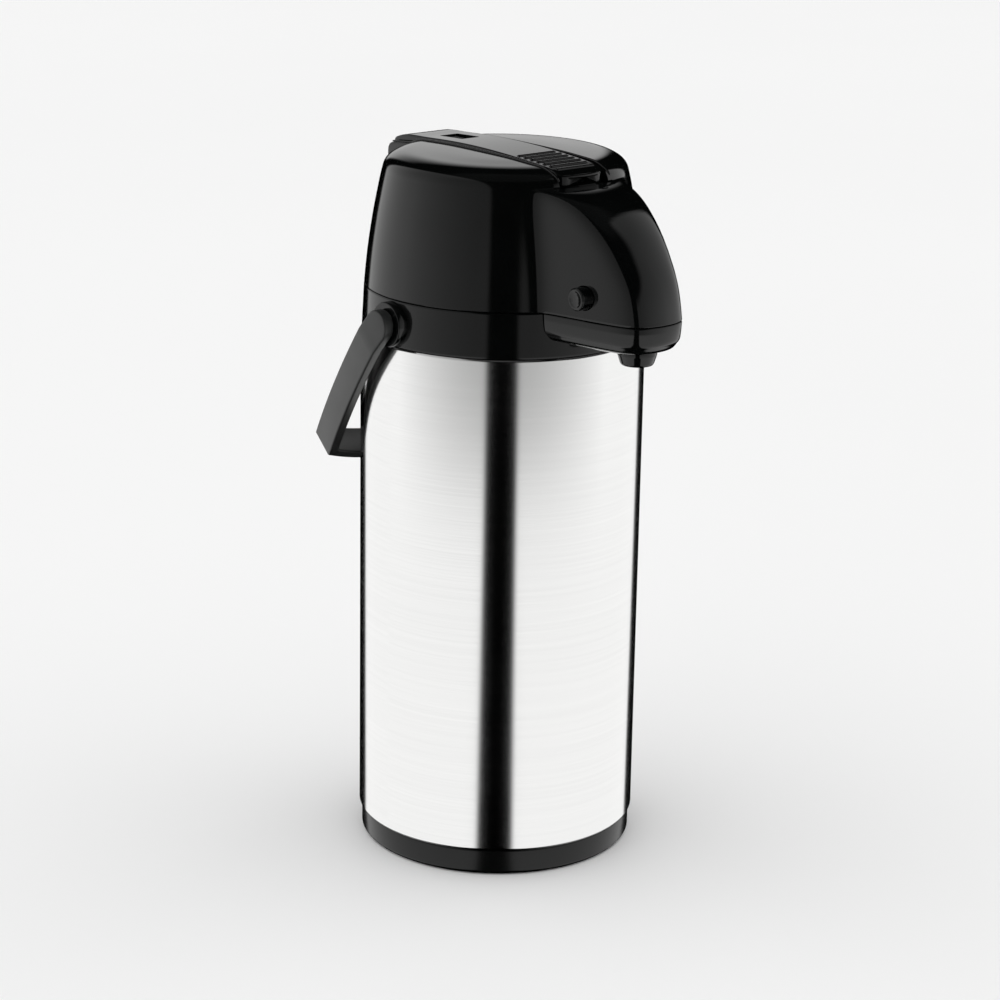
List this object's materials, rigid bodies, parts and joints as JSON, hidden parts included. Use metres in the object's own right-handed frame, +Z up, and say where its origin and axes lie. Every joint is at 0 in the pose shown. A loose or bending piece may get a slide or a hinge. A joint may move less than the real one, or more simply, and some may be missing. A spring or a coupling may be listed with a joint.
{
  "type": "lever-pump thermal coffee airpot",
  "caption": "Steel-cased vacuum airpot with a black lever pump head, a forward spout, a hinged lid, release buttons, a bail handle and a swivel base.",
  "frame": {"origin": "centre of the base's underside, on the body axis", "axes": "+Z up along the body axis, -Y towards the spout, X across along the handle's pivot line"},
  "size_m": [0.1744, 0.2216, 0.388],
  "materials": {
    "brushed_casing": "brushed round the body",
    "gloss_black": "polished moulding",
    "satin_black": "satin moulding",
    "white_plastic": "natural polypropylene",
    "black_rubber": "moulded rubber",
    "silicone": "food-grade silicone",
    "flask_glass": "silvered double-wall glass",
    "bright_steel": "bright steel"
  },
  "bodies": {
    "base": {"swivel_base": "satin_black", "foot_ring": "black_rubber"},
    "pot": {"outer_casing": "brushed_casing", "bottom_cover": "satin_black", "base_clip": "bright_steel", "vacuum_flask": "flask_glass", "flask_cushion": "black_rubber", "collar_ring": "gloss_black", "neck_gasket": "silicone", "stopper": "white_plastic", "stopper_gasket": "silicone", "dip_tube": "white_plastic", "foot_valve": "white_plastic", "delivery_pipe": "silicone", "nozzle": "gloss_black", "spout_housing": "gloss_black", "spout_screw_left": "bright_steel", "spout_screw_right": "bright_steel", "lid_hinge_pin": "bright_steel", "pivot_pin_left": "bright_steel", "pivot_pin_right": "bright_steel"},
    "ball": {"check_ball": "bright_steel"},
    "carrying_handle": {"handle": "satin_black"},
    "lid": {"head_cover": "gloss_black", "lid_plate": "satin_black", "lid_screw_1": "bright_steel", "lid_screw_2": "bright_steel", "lid_screw_3": "bright_steel", "lid_screw_4": "bright_steel", "air_seal": "silicone", "bellows": "black_rubber", "return_spring": "bright_steel", "lever_pin": "bright_steel"},
    "pump_lever": {"lever": "gloss_black"},
    "pump_plunger": {"plunger": "white_plastic"},
    "lock": {"lock_slider": "satin_black"},
    "catch_left": {"button_left": "gloss_black"},
    "catch_right": {"button_right": "gloss_black"}
  },
  "joints": [
    {"name": "base_swivel", "type": "hinge", "parent": "base", "child": "pot", "pos_m": [0, 0, 0], "axis": [0, 0, 1], "continuous": true},
    {"name": "handle_swing", "type": "hinge", "parent": "pot", "child": "carrying_handle", "pos_m": [0, 0, 0.3012], "axis": [1, 0, 0], "range_deg": [0, 185]},
    {"name": "lid_open", "type": "hinge", "parent": "pot", "child": "lid", "pos_m": [0, 0.0813, 0.309], "axis": [-1, 0, 0], "range_deg": [0, 85]},
    {"name": "lever_press", "type": "hinge", "parent": "lid", "child": "pump_lever", "pos_m": [0, 0.068, 0.374], "axis": [1, 0, 0], "range_deg": [0, 12], "stiffness_Nm_per_rad": 1.2, "springref_deg": -6.88},
    {"name": "plunger_stroke", "type": "slide", "parent": "lid", "child": "pump_plunger", "axis": [0, 0, -1], "range_m": [0, 0.0147], "deforming": ["bellows", "return_spring"]},
    {"name": "lock_slide", "type": "slide", "parent": "pump_lever", "child": "lock", "axis": [0, -1, 0], "range_m": [0, 0.0088]},
    {"name": "button_left_press", "type": "slide", "parent": "lid", "child": "catch_left", "axis": [1, 0, 0], "range_m": [0, 0.003], "stiffness_N_per_m": 250, "springref_m": -0.002},
    {"name": "button_right_press", "type": "slide", "parent": "lid", "child": "catch_right", "axis": [-1, 0, 0], "range_m": [0, 0.003], "stiffness_N_per_m": 250, "springref_m": -0.002},
    {"name": "check_ball_lift", "type": "slide", "parent": "pot", "child": "ball", "axis": [0, 0, 1], "range_m": [0, 0.0025]}
  ],
  "couplings": [
    {"joint": "plunger_stroke", "follows": "lever_press", "m_per_rad": 0.0695}
  ]
}
